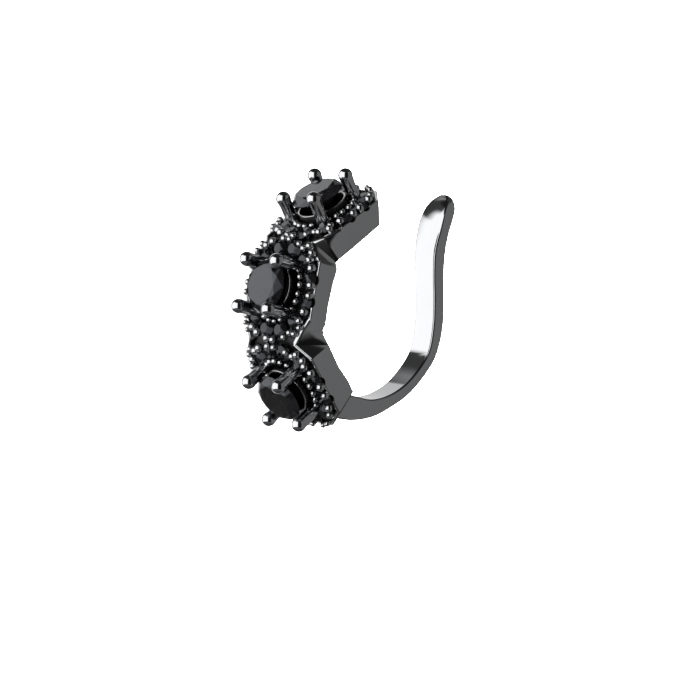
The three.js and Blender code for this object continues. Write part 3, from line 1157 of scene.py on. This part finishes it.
def studio_world():
    """The studio: window to the left, grey wall to the right, dark behind the camera."""
    world = bpy.data.worlds.new("studio")
    world.use_nodes = True
    tree = world.node_tree
    way = add_node(tree, "ShaderNodeTexCoord", "Generated", {})

    def part_along(direction):
        inputs = {0: way, 1: direction}
        return add_node(tree, "ShaderNodeVectorMath", "Value", inputs, operation="DOT_PRODUCT")

    def work_out(operation, *values):
        inputs = dict(enumerate(values))
        return add_node(tree, "ShaderNodeMath", "Value", inputs, operation=operation)

    level_back = Vector((CAMERA_BACK.x, 0, CAMERA_BACK.z)).normalized()
    turn = work_out("ARCTAN2", part_along(-CAMERA_RIGHT), part_along(level_back))
    turn = work_out("MULTIPLY_ADD", turn, 0.5 / math.pi, 0.5)
    rise = work_out("MULTIPLY_ADD", part_along((0, 1, 0)), 0.5, 0.5)
    wall = ramp(tree, turn, STUDIO_ROUND, HALF_TURN, BRIGHTEST)
    shows = ramp(tree, rise, WALL_SHOWS, FULL_RISE)
    beyond = ramp(tree, rise, BEYOND_WALL, FULL_RISE, BRIGHTEST)
    seen = mix_colours(tree, shows, beyond, wall)
    for by_turn, by_rise, level in PANELS:
        across = ramp(tree, turn, by_turn, HALF_TURN)
        up = ramp(tree, rise, by_rise, FULL_RISE)
        share = work_out("MULTIPLY", across, up)
        seen = mix_colours(tree, share, seen, grey(level / BRIGHTEST))
    studio = tree.nodes["Background"]
    feed(tree, studio, {"Strength": BRIGHTEST, "Color": seen})
    pale = add_node(tree, "ShaderNodeBackground", "Background", {"Color": grey(1.0)})
    from_camera = add_node(tree, "ShaderNodeLightPath", "Is Camera Ray", {})
    ways = {"Fac": from_camera, 1: studio.outputs["Background"], 2: pale}
    chosen = add_node(tree, "ShaderNodeMixShader", "Shader", ways)
    feed(tree, tree.nodes["World Output"], {"Surface": chosen})
    return world


def place_camera(scene):
    """Sets up the scene's camera."""
    camera_data = bpy.data.cameras.new("camera")
    camera = bpy.data.objects.new("camera", camera_data)
    scene.collection.objects.link(camera)
    back = CAMERA_BACK.normalized()
    right = CAMERA_RIGHT.normalized()
    stand = Matrix((right, back.cross(right), back)).transposed().to_4x4()
    camera.matrix_world = Matrix.Translation(CAMERA_SPOT) @ stand
    camera_data.sensor_width = CAMERA_SENSOR
    camera_data.lens = CAMERA_LENS
    camera_data.clip_start = CAMERA_NEAR
    camera_data.clip_end = CAMERA_FAR
    scene.camera = camera


class CUFF_OT_stage(bpy.types.Operator):
    """Pale floor, soft light and the camera"""

    bl_idname = "cuff.stage"
    bl_label = "Stage"

    def execute(self, context):
        bpy.ops.mesh.primitive_plane_add(size=FLOOR_SIZE, location=(0, 0, 0))
        floor = start_piece("floor")
        leave_edit()
        floor.data.materials.append(material_called("pale_paper"))
        floor.visible_glossy = False

        spot = Vector(LAMP_WAY).normalized() * LAMP_DISTANCE
        bpy.ops.object.light_add(type="AREA", location=spot)
        lamp = bpy.context.object
        lamp.name = "overhead_softbox"
        lamp.rotation_euler = spot.to_track_quat("Z", "Y").to_euler()
        lamp.data.shape = "DISK"
        lamp.data.size = LAMP_SIZE
        lamp.data.energy = LAMP_POWER
        lamp.visible_glossy = False

        context.scene.world = studio_world()
        place_camera(context.scene)
        context.scene.view_settings.view_transform = "Standard"
        return {"FINISHED"}


# ---------- Panel and registration ----------

STEPS = (
    CUFF_OT_cluster_plates, CUFF_OT_ball_prongs, CUFF_OT_seat_rims, CUFF_OT_centre_stones,
    CUFF_OT_paved_stones, CUFF_OT_bead_grains, CUFF_OT_hook_band, CUFF_OT_stage,
)


class CUFF_PT_panel(bpy.types.Panel):
    """Lists the steps of the ear cuff"""

    bl_idname = "CUFF_PT_panel"
    bl_label = "Ear Cuff"
    bl_space_type = "VIEW_3D"
    bl_region_type = "UI"
    bl_category = "Ear Cuff"

    def draw(self, context):
        for step in STEPS:
            self.layout.operator(step.bl_idname)


CLASSES = (
    CuffClusterSizes, CuffProngSizes, CuffPaveSizes, CuffFinishes, CuffSettings, *STEPS,
    CUFF_PT_panel,
)


def register():
    for kind in CLASSES:
        bpy.utils.register_class(kind)
    bpy.types.Scene.ear_cuff = PointerProperty(type=CuffSettings)


def unregister():
    del bpy.types.Scene.ear_cuff
    for kind in reversed(CLASSES):
        bpy.utils.unregister_class(kind)


def main():
    register()
    bpy.ops.object.select_all(action="DESELECT")
    for step in STEPS:
        getattr(bpy.ops.cuff, step.bl_idname.split(".")[1])()
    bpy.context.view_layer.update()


if __name__ == "__main__":
    main()
